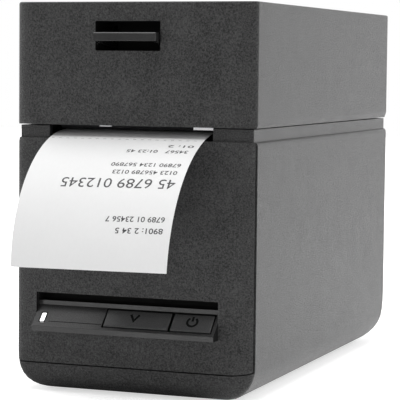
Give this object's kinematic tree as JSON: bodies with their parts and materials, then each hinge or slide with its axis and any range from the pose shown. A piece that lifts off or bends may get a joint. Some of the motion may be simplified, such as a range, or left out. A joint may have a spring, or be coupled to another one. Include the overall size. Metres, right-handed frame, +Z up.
{
  "type": "label printer",
  "caption": "Upright desktop label printer with a hinged top lid, a front release bar, a sloping key shelf and a curled label leaving the front slot.",
  "frame": {"origin": "centre of the bounding box on the table plane, under the four feet", "axes": "+X to the right of someone who faces the front, +Y from the front to the back, +Z up; the front looks along -Y"},
  "size_m": [0.118, 0.2694, 0.1812],
  "materials": {
    "shell_plastic": "fine-grained matte charcoal",
    "inner_plastic": "matte black moulding",
    "key_plastic": "smooth matte",
    "steel": "pressed sheet and turned rod",
    "aluminium": "extruded, anodised black",
    "brass": "turned",
    "rubber": "ground matte",
    "paper": "coated white",
    "cardboard": "wound board",
    "board": "lacquered circuit board",
    "light": "lit white lens",
    "gear_plastic": "natural moulding"
  },
  "bodies": {
    "printer_body": {"main_housing": "shell_plastic", "front_cover": "shell_plastic", "neck_frame": "shell_plastic", "base_cover": "inner_plastic", "foot_front_left": "rubber", "foot_front_right": "rubber", "foot_rear_left": "rubber", "foot_rear_right": "rubber", "control_panel": "shell_plastic", "status_light": "light", "key_board": "board", "main_board": "board", "rear_board": "board", "network_socket": "steel", "usb_socket": "steel", "power_inlet": "inner_plastic", "mechanism_frame": "steel", "platen_bush_left": "brass", "platen_bush_right": "brass", "stepper_motor": "inner_plastic", "label_deck": "inner_plastic", "gap_sensor": "inner_plastic", "label_bay": "inner_plastic", "label_web": "paper", "hinge_pin_left": "steel", "hinge_pin_right": "steel", "catch_left": "steel", "catch_right": "steel"},
    "feed_button": {"feed_key": "key_plastic"},
    "power_button": {"power_key": "key_plastic"},
    "platen": {"platen_roller": "rubber", "platen_shaft": "steel", "platen_gear": "gear_plastic"},
    "idler": {"idler_gear": "gear_plastic"},
    "motor_rotor": {"motor_pinion": "brass"},
    "media_roll": {"label_roll": "paper", "roll_core": "cardboard"},
    "left_guide": {"guide_left": "inner_plastic"},
    "right_guide": {"guide_right": "inner_plastic"},
    "rack_pinion": {"guide_pinion": "gear_plastic"},
    "lid": {"lid_shell": "shell_plastic", "lid_liner": "inner_plastic", "tear_bar": "steel", "head_mount": "steel", "head_pivot_rod": "steel", "hinge_leaf_left": "steel", "hinge_leaf_right": "steel"},
    "head_unit": {"head_carrier": "steel", "print_head": "aluminium"},
    "release_lever": {"release_handle": "shell_plastic", "lever_shaft": "steel", "latch_hook_left": "steel", "latch_hook_right": "steel"}
  },
  "joints": [
    {"name": "lid_hinge", "type": "hinge", "parent": "printer_body", "child": "lid", "pos_m": [0, 0.13172, 0.12145], "axis": [-1, 0, 0], "range_deg": [0, 95]},
    {"name": "head_pivot", "type": "hinge", "parent": "lid", "child": "head_unit", "pos_m": [0, -0.04028, 0.13295], "axis": [-1, 0, 0], "range_deg": [0, 2], "stiffness_Nm_per_rad": 2, "springref_deg": -11.46},
    {"name": "release_turn", "type": "hinge", "parent": "lid", "child": "release_lever", "pos_m": [0, -0.05628, 0.1564], "axis": [-1, 0, 0], "range_deg": [0, 7], "stiffness_Nm_per_rad": 1, "springref_deg": -5.73},
    {"name": "feed_press", "type": "slide", "parent": "printer_body", "child": "feed_button", "axis": [0, 0.7071, -0.7071], "range_m": [0, 0.0008], "stiffness_N_per_m": 600, "springref_m": -0.0015},
    {"name": "power_press", "type": "slide", "parent": "printer_body", "child": "power_button", "axis": [0, 0.7071, -0.7071], "range_m": [0, 0.0008], "stiffness_N_per_m": 600, "springref_m": -0.0015},
    {"name": "platen_turn", "type": "hinge", "parent": "printer_body", "child": "platen", "pos_m": [0, -0.07328, 0.11435], "axis": [1, 0, 0], "continuous": true},
    {"name": "idler_turn", "type": "hinge", "parent": "printer_body", "child": "idler", "pos_m": [0, -0.05297, 0.10011], "axis": [1, 0, 0], "continuous": true},
    {"name": "motor_turn", "type": "hinge", "parent": "printer_body", "child": "motor_rotor", "pos_m": [0, -0.05828, 0.08], "axis": [1, 0, 0], "continuous": true},
    {"name": "roll_turn", "type": "hinge", "parent": "printer_body", "child": "media_roll", "pos_m": [0, 0.04686, 0.07313], "axis": [1, 0, 0], "continuous": true},
    {"name": "guide_left_slide", "type": "slide", "parent": "printer_body", "child": "left_guide", "axis": [-1, 0, 0], "range_m": [0, 0.006], "stiffness_N_per_m": 300, "springref_m": -0.01},
    {"name": "guide_right_slide", "type": "slide", "parent": "printer_body", "child": "right_guide", "axis": [1, 0, 0], "range_m": [0, 0.006]},
    {"name": "guide_pinion_turn", "type": "hinge", "parent": "printer_body", "child": "rack_pinion", "pos_m": [-0.0036, 0.04686, 0.0112], "axis": [0, 0, -1], "range_deg": [0, 86]}
  ],
  "couplings": [
    {"joint": "idler_turn", "follows": "platen_turn", "ratio": -0.55},
    {"joint": "motor_turn", "follows": "platen_turn", "ratio": 1.8333},
    {"joint": "guide_right_slide", "follows": "guide_left_slide", "ratio": 1},
    {"joint": "guide_pinion_turn", "follows": "guide_left_slide", "rad_per_m": 250}
  ]
}
